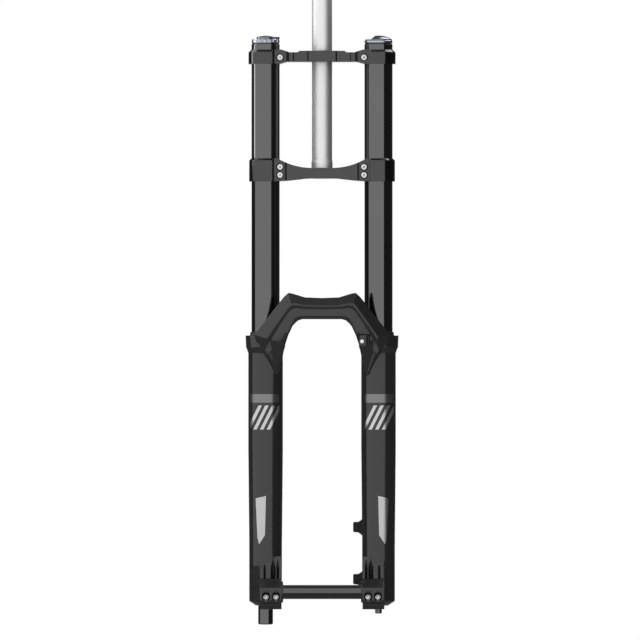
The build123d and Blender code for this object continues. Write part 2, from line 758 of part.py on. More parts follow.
def leg_rings(inner, outer, bottom, top):
    """The same plain ring in both legs."""
    outline = [(inner, bottom), (outer, bottom), (outer, top), (inner, top)]
    return group([turned(outline, x) for x in (DAMPER_X, AIR_X)])


keep(leg_rings(STANCHION_R + 0.1, FOAM_SEAT_R - 0.1, FOAM_BOTTOM + 0.1, FOAM_TOP - 0.1), "foam_rings")
keep(leg_rings(STANCHION_R + RUNNING, BUSH_SEAT_R - SNUG, -290, -260), "upper_bushings")
keep(leg_rings(STANCHION_R + RUNNING, BUSH_SEAT_R - SNUG, -396, -366), "lower_bushings")


# Lower leg casting: both legs, the arch, the axle lugs and the brake posts are one magnesium piece.
LUG_IN, LUG_OUT = 57.2, 88.0
LUG_BOSS_R = 15.0
LUG_SCREW_X = (65.0, 79.0)
LUG_SCREW_LEAN = 38.0
LUG_SCREW_SHANK = 17.0
AXLE_BORE_R = AXLE_R + 0.04
POST_X = 51.0
POST_R = 6.9
POST_FACE_Y = 17.0
LOWER_POST_Z = -583.5
UPPER_POST_Z = LOWER_POST_Z + BRAKE_POST_SPACING
POST_HOLE_R = 2.5
GUIDE_SEAT_Y = -52.0
GUIDE_SCREW = (56.5, -245.9)

leg_outline = [
    (0, LEG_FOOT),
    (LEG_FOOT_R, LEG_FOOT),
    (22.5, LEG_FOOT + 5.4),
    (LEG_LOWER_R, LEG_FOOT + 7.2),
    (LEG_LOWER_R, TAPER_END),
    (LEG_R, TAPER_START),
    (LEG_R, LEG_START),
    (COLLAR_FOOT_R, COLLAR_FOOT),
    (COLLAR_R, LEG_TOP + 1),
    (COLLAR_R - 1, LEG_TOP),
    (0, LEG_TOP),
]
leg_bore = [
    (0, LEG_FLOOR),
    (LEG_BORE_R, LEG_FLOOR),
    (LEG_BORE_R, -398),
    (BUSH_SEAT_R, -398),
    (BUSH_SEAT_R, FOAM_BOTTOM),
    (FOAM_SEAT_R, FOAM_BOTTOM),
    (FOAM_SEAT_R, FOAM_TOP),
    (WIPER_SEAT_R, FOAM_TOP),
    (WIPER_SEAT_R, LEG_TOP + 5),
    (0, LEG_TOP + 5),
]

# The arch is lofted through sections from its middle to the point where it dies out on the leg.
# Each section: inner corner (x, z), outer corner (x, z), depths y at its back inner and back outer
# corners, its foremost depth, how deep the fold along its front is, and how far the front drops back
# to the inner and to the outer corner.
ARCH_BACK = -41.5
arch_sections = [
    ((0, -214.5), (0, -184.5), ARCH_BACK, ARCH_BACK, -60.9, 1.0, 5.4, 10.9),
    ((28, -214.5), (24, -183.6), ARCH_BACK, ARCH_BACK, -60.9, 1.0, 5.4, 10.9),
    ((34, -216.5), (41, -178.4), ARCH_BACK, ARCH_BACK, -61.2, 0.9, 5.4, 11.0),
    ((38, -220), (47.5, -177.2), ARCH_BACK, ARCH_BACK, -61.5, 0.8, 5.2, 10.5),
    ((41.5, -224), (54, -183), ARCH_BACK, ARCH_BACK, -61.5, 0.8, 5.0, 10.0),
    ((47.5, -236.6), (76, -211), ARCH_BACK, ARCH_BACK, -60.2, 0.8, 4.6, 10.0),
    ((52, -250), (95.5, -236), -32, -39.5, -55.8, 0.6, 5.0, 12.0),
    ((55.5, -266), (90, -259), -24, -30, -47.0, 0.5, 4.5, 11.5),
    ((58.5, -280), (78, -275), -24, -30, -42.0, 0.3, 4.5, 6.0),
    ((62, -294), (66, -292.5), -25, -30, -37.5, 0.1, 3.0, 2.0),
]


def arch_front(front, fold, inner_drop, outer_drop):
    """The front of one arch section, as (share of the way from the inner to the outer corner, y)."""
    return (
        (0, front + inner_drop),
        (0.05, front + 0.4 * inner_drop),
        (0.15, front + 0.7),
        (0.38, front + 0.9),
        (0.46, front + 0.9 + 1.3 * fold),
        (0.58, front),
        (0.64, front + 0.3),
        (1, front + outer_drop),
    )


with BuildPart() as arch:
    for inner, outer, back_in, back_out, *depths in arch_sections:
        across = Vector(outer[0] - inner[0], 0, outer[1] - inner[1])
        plane = Plane(origin=(inner[0], 0, inner[1]), x_dir=across, z_dir=across.cross(Vector(0, 1, 0)))
        flip = 1 if plane.y_dir.Y > 0 else -1
        front = [(share * across.length, y) for share, y in arch_front(*depths)]
        corners = [(0, back_in)] + front + [(across.length, back_out)]
        with BuildSketch(plane):
            with BuildLine():
                Polyline(*[(u, flip * y) for u, y in corners], close=True)
            make_face()
    loft(ruled=True)
    mirror(about=Plane.YZ)

# The hollow between the arch's strut and the rib below it, seen from the front.
hollow = [(72.9, -240.5), (83.7, -264.0), (80.1, -266.4), (71.0, -257.4)]
# The lug's outline seen from the side, as (y, z).
lug_outline = [
    (-26, -550),
    (-33.2, -550),
    (-50, -581),
    (-66.5, -593.6),
    (-67.2, -596),
    (-67.2, -611.5),
    (-66.5, -612.8),
    (-60.5, -623.2),
    (-59, -624.2),
    (-36, -624.2),
    (-32, -619.5),
    (-22, -612),
]
# The web outside the lug seen from above, as (x, y).
lug_web = [
    (LUG_OUT - 2, -42),
    (LUG_OUT, -42),
    (98.3, -29.9),
    (102.5, -17),
    (95, -15),
    (LUG_OUT - 2, -25),
]
# The pockets between the ribs above each lug, with V-shaped floors, as (inner x, outer x, deepest y, top).
LUG_POCKETS = (
    (60.8, 64.2, -35.0, -549.5),
    (65.8, 72.4, -34.8, -549.5),
    (79.6, 82.4, -37.4, -562.0),
)
POCKET_BOTTOM = -581.5
POCKET_EDGE_Y = -41.0


def lug_seat(side, x):
    """The plane under the head of one axle clamp screw, facing out of the lug."""
    lean = radians(LUG_SCREW_LEAN)
    out = Vector(0, -cos(lean), sin(lean))
    return Plane(origin=(side * x, -63.0, -609.1), x_dir=(1, 0, 0), z_dir=out)


with BuildPart() as lug:
    with BuildSketch(Plane.YZ.offset(LUG_IN)):
        with BuildLine():
            Polyline(*lug_outline, close=True)
        make_face()
    extrude(amount=LUG_OUT - LUG_IN)
    # Outside the lug, a web runs back to the side of the leg.
    with BuildSketch(Plane.XY.offset(-613)):
        with BuildLine():
            Polyline(*lug_web, close=True)
        make_face()
    extrude(amount=50)
    with BuildSketch(Plane.YZ.offset(LUG_OUT)):
        with BuildLine():
            Polyline((-14, -548), (-44, -566), (-60, -566), (-60, -540), (-14, -540), close=True)
        make_face()
    extrude(amount=30, mode=Mode.SUBTRACT)
    with BuildSketch(Plane.YZ.offset(HUB_WIDTH / 2)):
        with Locations((AXLE_Y, AXLE_Z)):
            Circle(LUG_BOSS_R)
    extrude(amount=LUG_IN - HUB_WIDTH / 2)

with BuildPart() as lug_pockets:
    for inner_x, outer_x, floor_y, pocket_top in LUG_POCKETS:
        with BuildSketch(Plane.XY.offset(POCKET_BOTTOM)):
            with BuildLine():
                Polyline(
                    (inner_x, -72),
                    (inner_x, POCKET_EDGE_Y),
                    ((inner_x + outer_x) / 2, floor_y),
                    (outer_x, POCKET_EDGE_Y),
                    (outer_x, -72),
                    close=True,
                )
            make_face()
        extrude(amount=pocket_top - POCKET_BOTTOM)


def brake_post(z):
    """One brake post: a boss behind the leg on a web that flows out of the leg's inner side."""
    with BuildPart() as post:
        with BuildSketch(Plane.XZ.offset(30)):
            with BuildLine():
                upper = Polyline((66, z + 22), (60, z + 22))
                upper_sweep = ThreePointArc((60, z + 22), (56.2, z + 11), (51, z + 7.4))
                nose = FilletPolyline(
                    (51, z + 7.4),
                    (POST_X - POST_R, z + 7.2),
                    (POST_X - POST_R, z - 7.2),
                    (51, z - 7.4),
                    radius=2,
                )
                lower_sweep = ThreePointArc((51, z - 7.4), (56.2, z - 11), (60, z - 22))
                lower = Polyline((60, z - 22), (66, z - 22), (66, z + 22))
            make_face()
        extrude(amount=-47)
        with BuildSketch(Plane.XY.offset(z - 30)):
            with BuildLine():
                Polyline((66, -24), (60, -24), (57.5, -20), (44, 3), (44, 12), (56, 12), (66, 1), close=True)
            make_face()
        extrude(amount=60, mode=Mode.INTERSECT)
        with BuildSketch(Plane.XZ.offset(-4)):
            with Locations((POST_X, z)):
                Circle(POST_R)
        extrude(amount=4 - POST_FACE_Y)
    return post.part


with BuildPart() as casting:
    for x in (DAMPER_X, AIR_X):
        add(turned(leg_outline, x))
    add(arch.part)
    for side in SIDES:
        with BuildSketch(Plane.XZ.offset(46)):
            with BuildLine():
                Polyline(*[(side * x, z) for x, z in hollow], close=True)
            make_face()
        extrude(amount=30, mode=Mode.SUBTRACT)
    add(lug.part)
    add(mirror(lug.part, about=Plane.YZ, mode=Mode.PRIVATE))
    add(lug_pockets.part, mode=Mode.SUBTRACT)
    add(mirror(lug_pockets.part, about=Plane.YZ, mode=Mode.PRIVATE), mode=Mode.SUBTRACT)
    for z in (LOWER_POST_Z, UPPER_POST_Z):
        add(brake_post(z))
        with BuildSketch(Plane.XZ.offset(-POST_FACE_Y)):
            with Locations((POST_X, z)):
                Circle(POST_HOLE_R)
        extrude(amount=20, mode=Mode.SUBTRACT)
    # Bores of the legs, the feet and the axle
    for x in (DAMPER_X, AIR_X):
        add(turned(leg_bore, x), mode=Mode.SUBTRACT)
        with Locations((x, STANCHION_Y, LEG_FOOT)):
            Cylinder(5.2, 40, mode=Mode.SUBTRACT)
    with Locations(Location((0, AXLE_Y, AXLE_Z), (0, 90, 0))):
        Cylinder(AXLE_BORE_R, 220, mode=Mode.SUBTRACT)
    # Clamp slits and screws
    lean = radians(LUG_SCREW_LEAN)
    slit_plane = Plane(origin=(0, AXLE_Y, AXLE_Z), x_dir=(1, 0, 0), z_dir=(0, -sin(lean), -cos(lean)))
    with BuildSketch(slit_plane):
        with Locations((-LUG_OUT, 0), (LUG_OUT, 0)):
            Rectangle(76, 1.6)
    extrude(amount=45, mode=Mode.SUBTRACT)
    for side in SIDES:
        for x in LUG_SCREW_X:
            add(screw_space(lug_seat(side, x), LUG_SCREW_SHANK), mode=Mode.SUBTRACT)
    # Seat of the brake hose guide
    with BuildSketch(Plane.XZ.offset(-GUIDE_SEAT_Y)):
        with Locations((59.7, -244.8)):
            Rectangle(15.4, 17.6)
    extrude(amount=30, mode=Mode.SUBTRACT)
    with BuildSketch(Plane.XZ.offset(-GUIDE_SEAT_Y)):
        with Locations(GUIDE_SCREW):
            Circle(2.1)
    extrude(amount=-11, mode=Mode.SUBTRACT)
keep(casting.part, "lower_leg_casting")

keep(
    group([socket_screw(lug_seat(s, x), LUG_SCREW_SHANK) for s in SIDES for x in LUG_SCREW_X]),
    "axle_clamp_screws",
)


# Axle: a hollow through axle, turned with a hex key from the damper side.
AXLE_START, AXLE_END = -87.0, 86.0
with BuildPart() as axle:
    with BuildSketch(Plane.YZ.offset(AXLE_START)):
        with Locations((AXLE_Y, AXLE_Z)):
            Circle(AXLE_R)
    extrude(amount=AXLE_END - AXLE_START)
    chamfer(axle.edges().filter_by(GeomType.CIRCLE), 0.8)
    with BuildSketch(Plane.YZ.offset(AXLE_END)):
        with Locations((AXLE_Y, AXLE_Z)):
            Circle(7.5)
    extrude(amount=-(AXLE_END - AXLE_START - 16), mode=Mode.SUBTRACT)
    with BuildSketch(Plane.YZ.offset(AXLE_START)):
        with Locations((AXLE_Y, AXLE_Z)):
            RegularPolygon(4, 6, major_radius=False)
    extrude(amount=10, mode=Mode.SUBTRACT)
keep(axle.part, "axle")


# Brake hose guide: a plastic clip on the brake-side leg, open at the front, and its screw.
GUIDE_FRONT_Y = -62.0
with BuildPart() as hose_guide:
    with BuildSketch(Plane.XZ.offset(-GUIDE_SEAT_Y)):
        with Locations((59.7, -244.8)):
            RectangleRounded(14, 16.2, 3)
    extrude(amount=GUIDE_SEAT_Y - GUIDE_FRONT_Y)
    fillet(hose_guide.faces().sort_by(Axis.Y)[0].edges(), 1.6)
    with Locations((62.8, -57.4, -244.8)):
        Cylinder(2.6, 30, mode=Mode.SUBTRACT)
        with Locations((0.8, -5, 0)):
            Box(3.4, 10, 30, rotation=(0, 0, 8), mode=Mode.SUBTRACT)
    with BuildSketch(Plane.XZ.offset(-GUIDE_SEAT_Y)):
        with Locations(GUIDE_SCREW):
            Circle(2.1)
    extrude(amount=20, mode=Mode.SUBTRACT)
keep(hose_guide.part, "brake_hose_guide")
with BuildPart() as guide_screw:
    with BuildSketch(Plane.XZ.offset(-GUIDE_FRONT_Y)):
        with Locations(GUIDE_SCREW):
            Circle(3.2)
    extrude(amount=2.4)
    fillet(guide_screw.faces().sort_by(Axis.Y)[0].edges(), 1.2)
    with BuildSketch(Plane.XZ.offset(-GUIDE_FRONT_Y)):
        with Locations(GUIDE_SCREW):
            Circle(2.0)
    extrude(amount=-(GUIDE_SEAT_Y - GUIDE_FRONT_Y) - 9)
    with BuildSketch(Plane.XZ.offset(-GUIDE_FRONT_Y + 2.4)):
        with Locations(GUIDE_SCREW):
            RegularPolygon(1.25, 6, major_radius=False)
    extrude(amount=-1.6, mode=Mode.SUBTRACT)
keep(guide_screw.part, "hose_guide_screw")
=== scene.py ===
"""Double-crown suspension fork: the looks of every piece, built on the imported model.

Metres. +Z runs up the steerer, the fork's front faces -Y and the brake side is +X.
"""

import math

import bmesh
import bpy
from mathutils import Matrix, Vector


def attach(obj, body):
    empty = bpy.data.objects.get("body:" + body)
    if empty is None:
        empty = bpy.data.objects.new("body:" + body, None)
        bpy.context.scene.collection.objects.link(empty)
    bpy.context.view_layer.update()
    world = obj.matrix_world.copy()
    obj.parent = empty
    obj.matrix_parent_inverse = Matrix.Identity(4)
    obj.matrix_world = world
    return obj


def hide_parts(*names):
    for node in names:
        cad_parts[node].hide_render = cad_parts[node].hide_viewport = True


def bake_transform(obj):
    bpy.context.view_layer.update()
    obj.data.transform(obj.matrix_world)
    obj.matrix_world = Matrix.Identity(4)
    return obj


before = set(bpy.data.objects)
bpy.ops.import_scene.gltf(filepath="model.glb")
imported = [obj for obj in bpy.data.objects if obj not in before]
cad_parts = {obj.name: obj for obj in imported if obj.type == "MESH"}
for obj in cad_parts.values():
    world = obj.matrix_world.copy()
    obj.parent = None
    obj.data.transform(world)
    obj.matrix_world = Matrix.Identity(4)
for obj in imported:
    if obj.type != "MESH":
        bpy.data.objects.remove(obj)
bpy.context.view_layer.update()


# ---------------------------------------------------------------------------
# Steerer
# A straight tube of drawn aluminium, bead blasted and left bare, pressed into
# the lower crown. Drawing leaves faint lines along it, handling leaves smudges.
# ---------------------------------------------------------------------------
MM = 0.001


class Wire:
    """A value in a material. Sums written with it add the Math nodes they need."""

    def __init__(self, paint, socket):
        self.paint = paint
        self.socket = socket

    def maths(self, operation, *values):
        return self.paint.add("ShaderNodeMath", {"operation": operation}, dict(enumerate(values)))

    def __add__(self, other):
        return self.maths("ADD", self, other)

    def __sub__(self, other):
        return self.maths("SUBTRACT", self, other)

    def __rsub__(self, other):
        return self.maths("SUBTRACT", other, self)

    def __mul__(self, other):
        return self.maths("MULTIPLY", self, other)

    __radd__ = __add__
    __rmul__ = __mul__

    def clamped(self):
        return self.paint.add("ShaderNodeClamp", {}, {"Value": self})


class Nodes:
    """A node tree that is wired up by calling the things that are wanted from it."""

    def __init__(self, tree):
        self.tree = tree

    def plug(self, node, sockets):
        for name, value in sockets.items():
            if isinstance(value, Wire):
                self.tree.links.new(value.socket, node.inputs[name])
            else:
                node.inputs[name].default_value = value

    def add(self, kind, settings=None, sockets=None, out=0):
        """A node of one kind, with its settings made first and then its sockets filled or linked."""
        node = self.tree.nodes.new(kind)
        for name, value in (settings or {}).items():
            setattr(node, name, value)
        self.plug(node, sockets or {})
        return Wire(self, node.outputs[out])

    def band(self, value, low, high):
        """0 below low, 1 above high, eased between."""
        settings = {"interpolation_type": "SMOOTHSTEP"}
        sockets = {"Value": value, "From Min": low, "From Max": high}
        return self.add("ShaderNodeMapRange", settings, sockets)

    def blend(self, factor, first, second):
        """A colour between two colours."""
        colours = {0: factor, 6: first, 7: second}
        return self.add("ShaderNodeMix", {"data_type": "RGBA"}, colours, out=2)


class Paint(Nodes):
    """A procedural material round one Principled shader."""

    def __init__(self, name, **sockets):
        self.material = bpy.data.materials.new(name)
        self.material.use_nodes = True
        super().__init__(self.material.node_tree)
        self.shader = self.tree.nodes["Principled BSDF"]
        self.place = self.add("ShaderNodeTexCoord", out="Object")
        self.set(**sockets)

    def set(self, **sockets):
        self.plug(self.shader, {name.replace("_", " "): value for name, value in sockets.items()})

    def noise(self, scale, detail=3.0, stretch=(1, 1, 1)):
        """Cloudy noise, scale in features per metre, drawn out along an axis by a small stretch."""
        spread = self.add("ShaderNodeMapping", {}, {"Vector": self.place, "Scale": stretch})
        return self.add("ShaderNodeTexNoise", {}, {"Vector": spread, "Scale": scale, "Detail": detail})

    def eased_edges(self, radius):
        """The normal of the surface with its edges rounded."""
        return self.add("ShaderNodeBevel", {"samples": 6}, {"Radius": radius})

    def edge_nearness(self, eased):
        """How near a point is to an edge that the normal eased has rounded, from 0 to 1."""
        flat = self.add("ShaderNodeNewGeometry", out="Normal")
        sockets = {0: eased, 1: flat}
        along = self.add("ShaderNodeVectorMath", {"operation": "DOT_PRODUCT"}, sockets, out="Value")
        return ((1.0 - along) * 5.0).clamped()

    def bump(self, height, distance, strength=1.0, normal=None):
        sockets = {"Height": height, "Distance": distance, "Strength": strength}
        if normal:
            sockets["Normal"] = normal
        self.set(Normal=self.add("ShaderNodeBump", {}, sockets))


def grey(level):
    return (level, level, level, 1)


def dress(material, *names):
    """Gives CAD nodes their material."""
    for name in names:
        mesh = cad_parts[name].data
        mesh.materials.clear()
        mesh.materials.append(material)


def worked_metal(name, colour, worn, roughness, grain, edge=0.4 * MM, stretch=(1, 1, 1)):
    """Metal with a fine grain, faint clouds from handling and edges with some of their finish gone."""
    paint = Paint(name, Metallic=1.0)
    eased = paint.eased_edges(edge)
    rim = paint.edge_nearness(eased)
    fine = paint.noise(grain, 2, stretch)
    clouds = paint.noise(38, 4)
    rubbed = (rim * paint.band(paint.noise(420, 3), 0.42, 0.75)).clamped()
    handled = (*(0.72 * part for part in colour[:3]), 1)
    shade = paint.blend(clouds * 0.35, colour, handled)
    paint.set(
        Base_Color=paint.blend(rubbed * 0.55, shade, worn),
        Roughness=roughness + (clouds - 0.5) * 0.10 + (fine - 0.5) * 0.10 - rubbed * 0.06,
    )
    paint.bump(fine, 0.012 * MM, 0.6, eased)
    return paint.material


dress(
    worked_metal("blasted_aluminium", grey(0.80), grey(0.88), 0.52, grain=5200, stretch=(1, 1, 0.12)),
    "steerer",
)


# ---------------------------------------------------------------------------
# Crowns
# Two forged and machined aluminium bridges, blasted and anodised black. The
# lower one is pressed on to the steerer, the upper one clamps it from behind.
# ---------------------------------------------------------------------------
dress(
    worked_metal("anodised_crown", grey(0.070), grey(0.16), 0.13, grain=4200, edge=0.7 * MM),
    "lower_crown",
    "upper_crown",
)


# ---------------------------------------------------------------------------
# Socket screws
# Zinc plated steel, turned heads with a broached hexagon. They draw the clamp
# flaps of the crowns and the axle lugs together.
# ---------------------------------------------------------------------------
dress(
    worked_metal("zinc_screw", grey(0.80), grey(0.90), 0.28, grain=7000, edge=0.25 * MM),
    "lower_crown_screws",
    "upper_crown_screws",
    "steerer_clamp_screw",
    "axle_clamp_screws",
    "hose_guide_screw",
)


# ---------------------------------------------------------------------------
# Stanchions
# Ground aluminium tubes with a polished black hard coat. The crowns clamp
# them, and the lower legs slide on them, which leaves faint upright marks.
# ---------------------------------------------------------------------------
hard_coat = Paint("hard_coat", Metallic=1.0)
polish = hard_coat.noise(300, 3, (1, 1, 0.03))
haze = hard_coat.noise(26, 4)
hard_coat.set(
    Base_Color=hard_coat.blend(haze * 0.4, grey(0.125), grey(0.100)),
    Roughness=0.045 + polish * 0.03 + haze * 0.02,
)
hard_coat.bump(polish, 0.0004 * MM, 0.3)
dress(hard_coat.material, "stanchion_damper_side", "stanchion_air_side")


# ---------------------------------------------------------------------------
# Top caps, compression lever and valve cap
# Turned aluminium. Both caps and the air valve are pale blue grey anodised,
# the lever and the domed valve cap that screws on over the valve are slate.
# ---------------------------------------------------------------------------
CAP_BLUE = (0.42, 0.445, 0.50, 1)
SLATE = (0.185, 0.195, 0.225, 1)
SLATE_WORN = (0.40, 0.43, 0.47, 1)
dress(
    worked_metal("pale_blue_cap", CAP_BLUE, grey(0.60), 0.26, grain=6000),
    "damper_top_cap",
    "air_top_cap",
    "air_valve",
)
dress(
    worked_metal("slate_anodised", SLATE, SLATE_WORN, 0.24, grain=6000),
    "compression_lever",
    "valve_cap",
)


# ---------------------------------------------------------------------------
# Lower leg casting
# One magnesium casting: two legs, arch, axle lugs and brake posts. It is
# machined where things fit, then painted gloss black under a clear coat.
# ---------------------------------------------------------------------------
gloss_black = Paint("gloss_black_paint", Metallic=0.0, Specular_IOR_Level=0.5)
casting_edges = gloss_black.eased_edges(1.8 * MM)
orange_peel = gloss_black.noise(260, 2)
flecks = gloss_black.noise(5200, 1)
dust = gloss_black.noise(55, 5)
gloss_black.set(
    Base_Color=gloss_black.blend(dust * 0.5, grey(0.018), grey(0.024)),
    Roughness=0.11 + dust * 0.05 + flecks * 0.02,
)
gloss_black.bump(orange_peel, 0.012 * MM, 0.25, casting_edges)
dress(gloss_black.material, "lower_leg_casting")


# ---------------------------------------------------------------------------
# Printed films on the legs
# Thin silver films under the clear coat on the front of each leg: a plain
# panel, a block of slanting bars and a tapered blade, with no words on them.
# ---------------------------------------------------------------------------
LEG_AXIS = Vector((0.080, -0.015, 0))
LEG_R = 24.6 * MM
LEG_FOOT_R = 23.3 * MM
TAPER_START = -0.400
TAPER_LENGTH = 0.135
FILM = 0.05 * MM
FILM_STEPS = 36
SHARP = math.radians(46)


def leg_radius(z):
    """The radius of the lower leg at a height between its collar and its foot."""
    share = min(max((TAPER_START - z) / TAPER_LENGTH, 0.0), 1.0)
    return LEG_R + (LEG_FOOT_R - LEG_R) * share


def film_patch(side, heights, azimuths, cuts=()):
    """A bent patch on one leg between two heights and two azimuths, trimmed by planes across it.

    Each cut is a point (x, z) in millimetres from the leg's axis and the origin, and the normal
    (x, z) of the plane there. What lies on the normal's side goes.
    """
    bm = bmesh.new()
    ends = []
    for z in heights:
        ends += bmesh.ops.create_vert(bm, co=(0, -leg_radius(z) - FILM / 2, z))["vert"]
    upright = ends + bmesh.ops.contextual_create(bm, geom=ends)["edges"]
    left, right = (math.radians(azimuth) for azimuth in azimuths)
    bmesh.ops.rotate(bm, verts=bm.verts, cent=(0, 0, 0), matrix=Matrix.Rotation(left, 3, "Z"))
    bmesh.ops.spin(
        bm,
        geom=upright,
        cent=(0, 0, 0),
        axis=(0, 0, 1),
        angle=right - left,
        steps=FILM_STEPS,
        use_merge=False,
    )
    bmesh.ops.remove_doubles(bm, verts=bm.verts, dist=1e-7)
    for x, z, normal_x, normal_z in cuts:
        bmesh.ops.bisect_plane(
            bm,
            geom=bm.verts[:] + bm.edges[:] + bm.faces[:],
            dist=1e-8,
            plane_co=(x * MM, 0, z * MM),
            plane_no=(normal_x, 0, normal_z),
            clear_outer=True,
        )
    bmesh.ops.recalc_face_normals(bm, faces=bm.faces)
    bmesh.ops.solidify(bm, geom=bm.faces[:], thickness=FILM)
    bmesh.ops.recalc_face_normals(bm, faces=bm.faces)
    bmesh.ops.translate(bm, verts=bm.verts, vec=(side * LEG_AXIS.x, LEG_AXIS.y, 0))
    patch = bpy.data.meshes.new("patch")
    bm.to_mesh(patch)
    bm.free()
    return patch


def finished(name, bm, material):
    """A piece from a bmesh, smooth except at its sharp edges, in its material."""
    for edge in bm.edges:
        edge.smooth = edge.calc_face_angle(math.pi) < SHARP
    for face in bm.faces:
        face.smooth = True
    mesh = bpy.data.meshes.new(name)
    bm.to_mesh(mesh)
    bm.free()
    mesh.materials.append(material)
    piece = bpy.data.objects.new(name, mesh)
    bpy.context.scene.collection.objects.link(piece)
    return piece


def films(name, patches, material):
    """Several patches as one piece that rides on the lower legs."""
    bm = bmesh.new()
    for patch in patches:
        bm.from_mesh(patch)
        bpy.data.meshes.remove(patch)
    piece = finished(name, bm, material)
    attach(piece, "lowers")


def silver_film(name, level, metallic, roughness):
    """Silver ink with fine flakes, a little dulled where it has been wiped."""
    paint = Paint(name, Metallic=metallic)
    flake = paint.noise(9000, 2)
    scuffs = paint.noise(60, 5, (1, 1, 0.4))
    paint.set(
        Base_Color=paint.blend(scuffs * 0.5, grey(level), grey(level * 0.8)),
        Roughness=roughness + (flake - 0.5) * 0.12 + scuffs * 0.05,
    )
    paint.bump(flake, 0.004 * MM, 0.4)
    return paint.material


PANEL_HEIGHTS = (-0.3325, -0.3205)
BAR_HEIGHTS = (-0.3705, -0.3365)
BAR_MIDDLE_Z = -353.5
BAR_CENTRES = (-14.5, -5.0, 4.5, 14.0)
BAR_HALF = 2.4
BAR_LEAN = 0.5
BLADE_HEIGHTS = (-0.5340, -0.4600)
BLADE_CUTS = (
    (-13.9, -470.0, -1.000, -0.045),
    (0.5, -470.0, 1.000, -0.026),
    (-0.8, -520.0, 0.843, -0.538),
    (-11.4, -524.0, -0.969, -0.248),
    (0.5, -464.5, -0.236, 0.972),
)
panels, bars, blades = [], [], []
for side in (-1, 1):
    print_azimuths = (4 * side - 56, 4 * side + 56)
    panels.append(film_patch(side, PANEL_HEIGHTS, print_azimuths))
    for centre in BAR_CENTRES:
        middle = centre + side * 1.5
        cuts = (
            (middle + BAR_HALF, BAR_MIDDLE_Z, 1, -BAR_LEAN),
            (middle - BAR_HALF, BAR_MIDDLE_Z, -1, BAR_LEAN),
        )
        bars.append(film_patch(side, BAR_HEIGHTS, print_azimuths, cuts))
    cuts = [(-side * x, z, -side * normal_x, normal_z) for x, z, normal_x, normal_z in BLADE_CUTS]
    blades.append(film_patch(side, BLADE_HEIGHTS, (-62, 62), cuts))
films("leg_panels", panels, silver_film("panel_film", 0.20, 0.85, 0.22))
films("leg_bars", bars, silver_film("bar_film", 0.54, 0.85, 0.20))
films("leg_blades", blades, silver_film("blade_film", 0.47, 0.9, 0.20))


# ---------------------------------------------------------------------------
# Dust wipers
# Moulded rubber on a ring that is pressed into the top of each leg. A lip
# with a garter groove scrapes the stanchion clean.
# ---------------------------------------------------------------------------
def moulded(name, level, roughness, grain=1500):
    """Rubber or plastic as it leaves the mould, with a fine texture and dust in it."""
    paint = Paint(name)
    texture = paint.noise(grain, 4)
    powder = paint.noise(70, 4)
    paint.set(
        Base_Color=paint.blend(powder * 0.6, grey(level), grey(level * 1.8)),
        Roughness=roughness + (texture - 0.5) * 0.2,
    )
    paint.bump(texture, 0.03 * MM, 0.5)
    return paint.material


dress(moulded("wiper_rubber", 0.018, 0.45), "dust_wiper_damper_side", "dust_wiper_air_side")


# ---------------------------------------------------------------------------
# Through axle
# A hollow aluminium shaft, ground and anodised black, with a hexagon in its
# end for a key. The lugs at the feet of the legs clamp it.
# ---------------------------------------------------------------------------
dress(worked_metal("anodised_axle", grey(0.10), grey(0.35), 0.16, grain=6000), "axle")


# ---------------------------------------------------------------------------
# Rebound knob, foot nuts and crush washers
# A black anodised knob under the damper leg and dark zinc nuts on the shafts'
# ends. The washers that seal the feet are dressed with the pieces inside.
# ---------------------------------------------------------------------------
dress(worked_metal("anodised_knob", grey(0.12), grey(0.35), 0.14, grain=5000), "rebound_knob")
dress(
    worked_metal("dark_zinc", grey(0.22), grey(0.5), 0.32, grain=5000),
    "damper_foot_nut",
    "air_foot_nut",
)


# ---------------------------------------------------------------------------
# Brake hose clip
# Injection moulded black nylon, held by one small screw to the foot of the
# arch on the brake side.
# ---------------------------------------------------------------------------
dress(moulded("black_nylon", 0.022, 0.42, 2600), "brake_hose_guide")


# ---------------------------------------------------------------------------
# Pieces inside the legs
# Machined aluminium damper and air spring parts, one plated and one black
# shaft, bronze bushings, rubber bumpers, oiled foam and spring steel.
# ---------------------------------------------------------------------------
dress(
    worked_metal("machined_aluminium", grey(0.66), grey(0.8), 0.27, grain=4000),
    "damper_cartridge_tube",
    "damper_seal_head",
    "compression_valve",
    "floating_piston",
    "compression_needle",
    "damper_piston",
    "rebound_rod",
    "crush_washers",
    "air_seal_head",
    "air_piston",
)
dress(worked_metal("plated_shaft", grey(0.62), grey(0.8), 0.10, grain=3000), "damper_shaft")
dress(worked_metal("black_shaft", grey(0.11), grey(0.35), 0.16, grain=3000), "air_shaft")
spring_steel = worked_metal("spring_steel", grey(0.28), grey(0.5), 0.35, grain=5000)
dress(spring_steel, "floating_piston_spring", "seal_head_retaining_ring")
dress(
    worked_metal("bearing_bronze", (0.45, 0.30, 0.14, 1), (0.7, 0.55, 0.3, 1), 0.34, grain=5000),
    "upper_bushings",
    "lower_bushings",
    "valve_pin",
)
dress(
    moulded("bumper_rubber", 0.04, 0.55),
    "damper_top_out_bumper",
    "bottom_out_bumpers",
    "air_piston_seal",
    "air_top_out_bumper",
)
dress(moulded("oiled_foam", 0.10, 0.85, 900), "foam_rings")
dress(moulded("spacer_plastic", 0.03, 0.40), "volume_spacers")


# ---------------------------------------------------------------------------
# Return spring of the floating piston
# A coil of round steel wire round the compression valve's stem. Its upper end
# bears on the stem's flange, and the piston presses its lower end upwards.
# ---------------------------------------------------------------------------
SPRING_TOP, SPRING_FOOT = 0.060, -0.048
SPRING_R, WIRE_R = 8.5 * MM, 0.8 * MM
SPRING_TURNS = 11
SPRING_STEPS = 20 * SPRING_TURNS
SPRING_RISE = SPRING_TOP - SPRING_FOOT - 2 * WIRE_R

